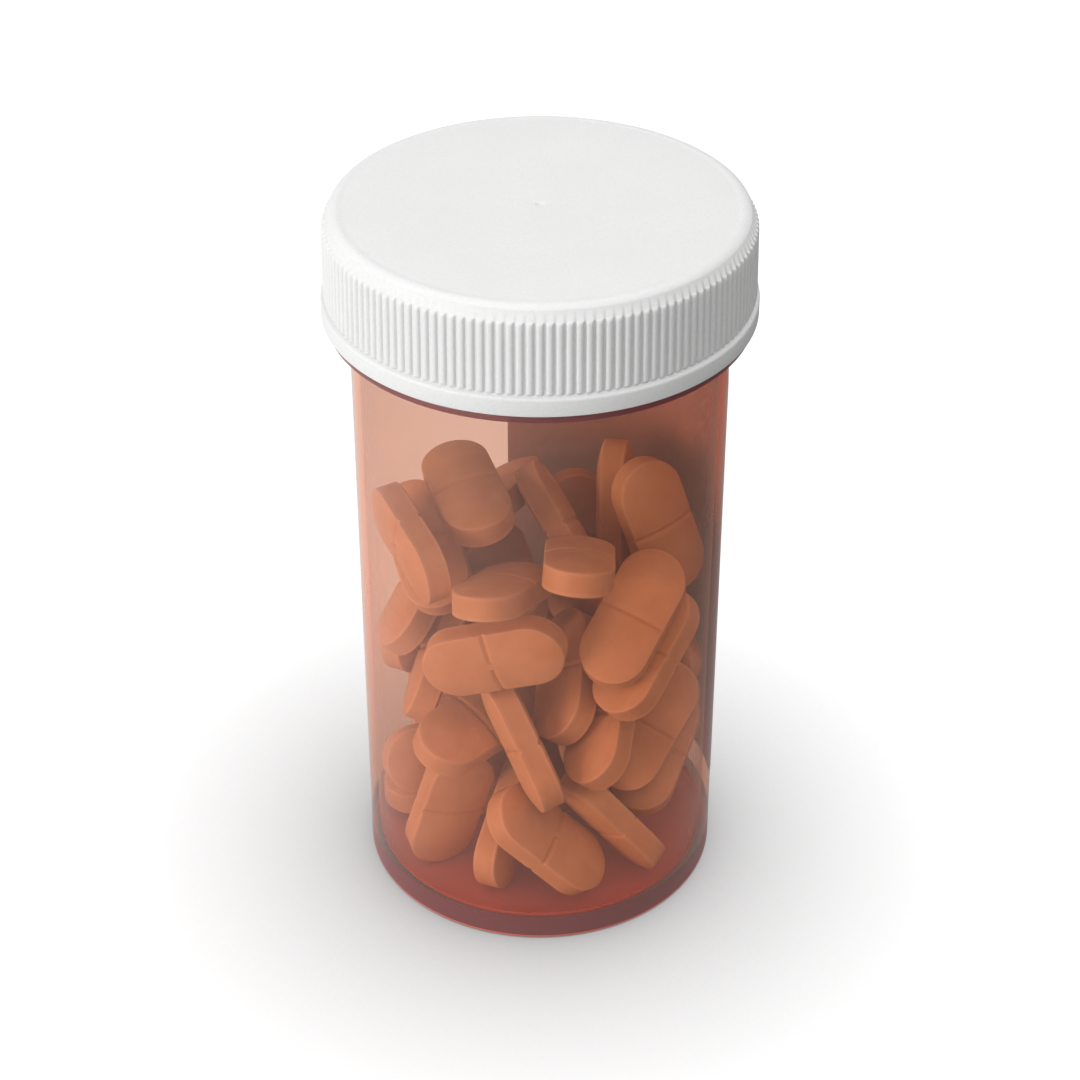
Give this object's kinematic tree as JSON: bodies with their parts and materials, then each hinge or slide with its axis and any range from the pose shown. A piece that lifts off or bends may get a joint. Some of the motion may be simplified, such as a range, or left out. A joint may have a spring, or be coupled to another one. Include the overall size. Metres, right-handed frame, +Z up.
{
  "type": "prescription vial",
  "caption": "Amber plastic medicine vial with a ribbed white screw cap, sealing disc, blank paper label and a heap of capsule-shaped tablets inside.",
  "frame": {"origin": "centre of the vial's flat base, where it stands", "axes": "+Z up along the vial's axis; -Y is the side the picture looks from; +X is to the right in that view"},
  "size_m": [0.0468, 0.0468, 0.0846],
  "materials": {
    "amber": "clear amber moulded polypropylene, glossy",
    "cap_white": "white moulded plastic with a fine satin grain",
    "liner_foam": "off-white foamed disc, dull",
    "label_paper": "plain white uncoated paper",
    "tablet_orange": "dry film-coated tablet, faintly speckled"
  },
  "bodies": {
    "vial": {"vial_body": "amber", "label": "label_paper", "tablet_01": "tablet_orange", "tablet_02": "tablet_orange", "tablet_03": "tablet_orange", "tablet_04": "tablet_orange", "tablet_05": "tablet_orange", "tablet_06": "tablet_orange", "tablet_07": "tablet_orange", "tablet_08": "tablet_orange", "tablet_09": "tablet_orange", "tablet_10": "tablet_orange", "tablet_11": "tablet_orange", "tablet_12": "tablet_orange", "tablet_13": "tablet_orange", "tablet_14": "tablet_orange", "tablet_15": "tablet_orange", "tablet_16": "tablet_orange", "tablet_17": "tablet_orange", "tablet_18": "tablet_orange", "tablet_19": "tablet_orange", "tablet_20": "tablet_orange", "tablet_21": "tablet_orange", "tablet_22": "tablet_orange", "tablet_23": "tablet_orange", "tablet_24": "tablet_orange", "tablet_25": "tablet_orange", "tablet_26": "tablet_orange", "tablet_27": "tablet_orange", "tablet_28": "tablet_orange", "tablet_29": "tablet_orange", "tablet_30": "tablet_orange", "tablet_31": "tablet_orange", "tablet_32": "tablet_orange", "tablet_33": "tablet_orange", "tablet_34": "tablet_orange", "tablet_35": "tablet_orange", "tablet_36": "tablet_orange", "tablet_37": "tablet_orange", "tablet_38": "tablet_orange", "tablet_39": "tablet_orange", "tablet_40": "tablet_orange", "tablet_41": "tablet_orange", "tablet_42": "tablet_orange", "tablet_43": "tablet_orange"},
    "liner": {"cap_liner": "liner_foam"},
    "cap": {"cap_shell": "cap_white"}
  },
  "joints": [
    {"name": "cap_rise", "type": "slide", "parent": "vial", "child": "liner", "axis": [0, 0, 1], "range_m": [0, 0.017]},
    {"name": "cap_turn", "type": "hinge", "parent": "liner", "child": "cap", "pos_m": [0, 0, 0.0785], "axis": [0, 0, 1], "range_deg": [0, 1440]}
  ],
  "couplings": [
    {"joint": "cap_rise", "follows": "cap_turn", "m_per_rad": 0.00067323}
  ]
}
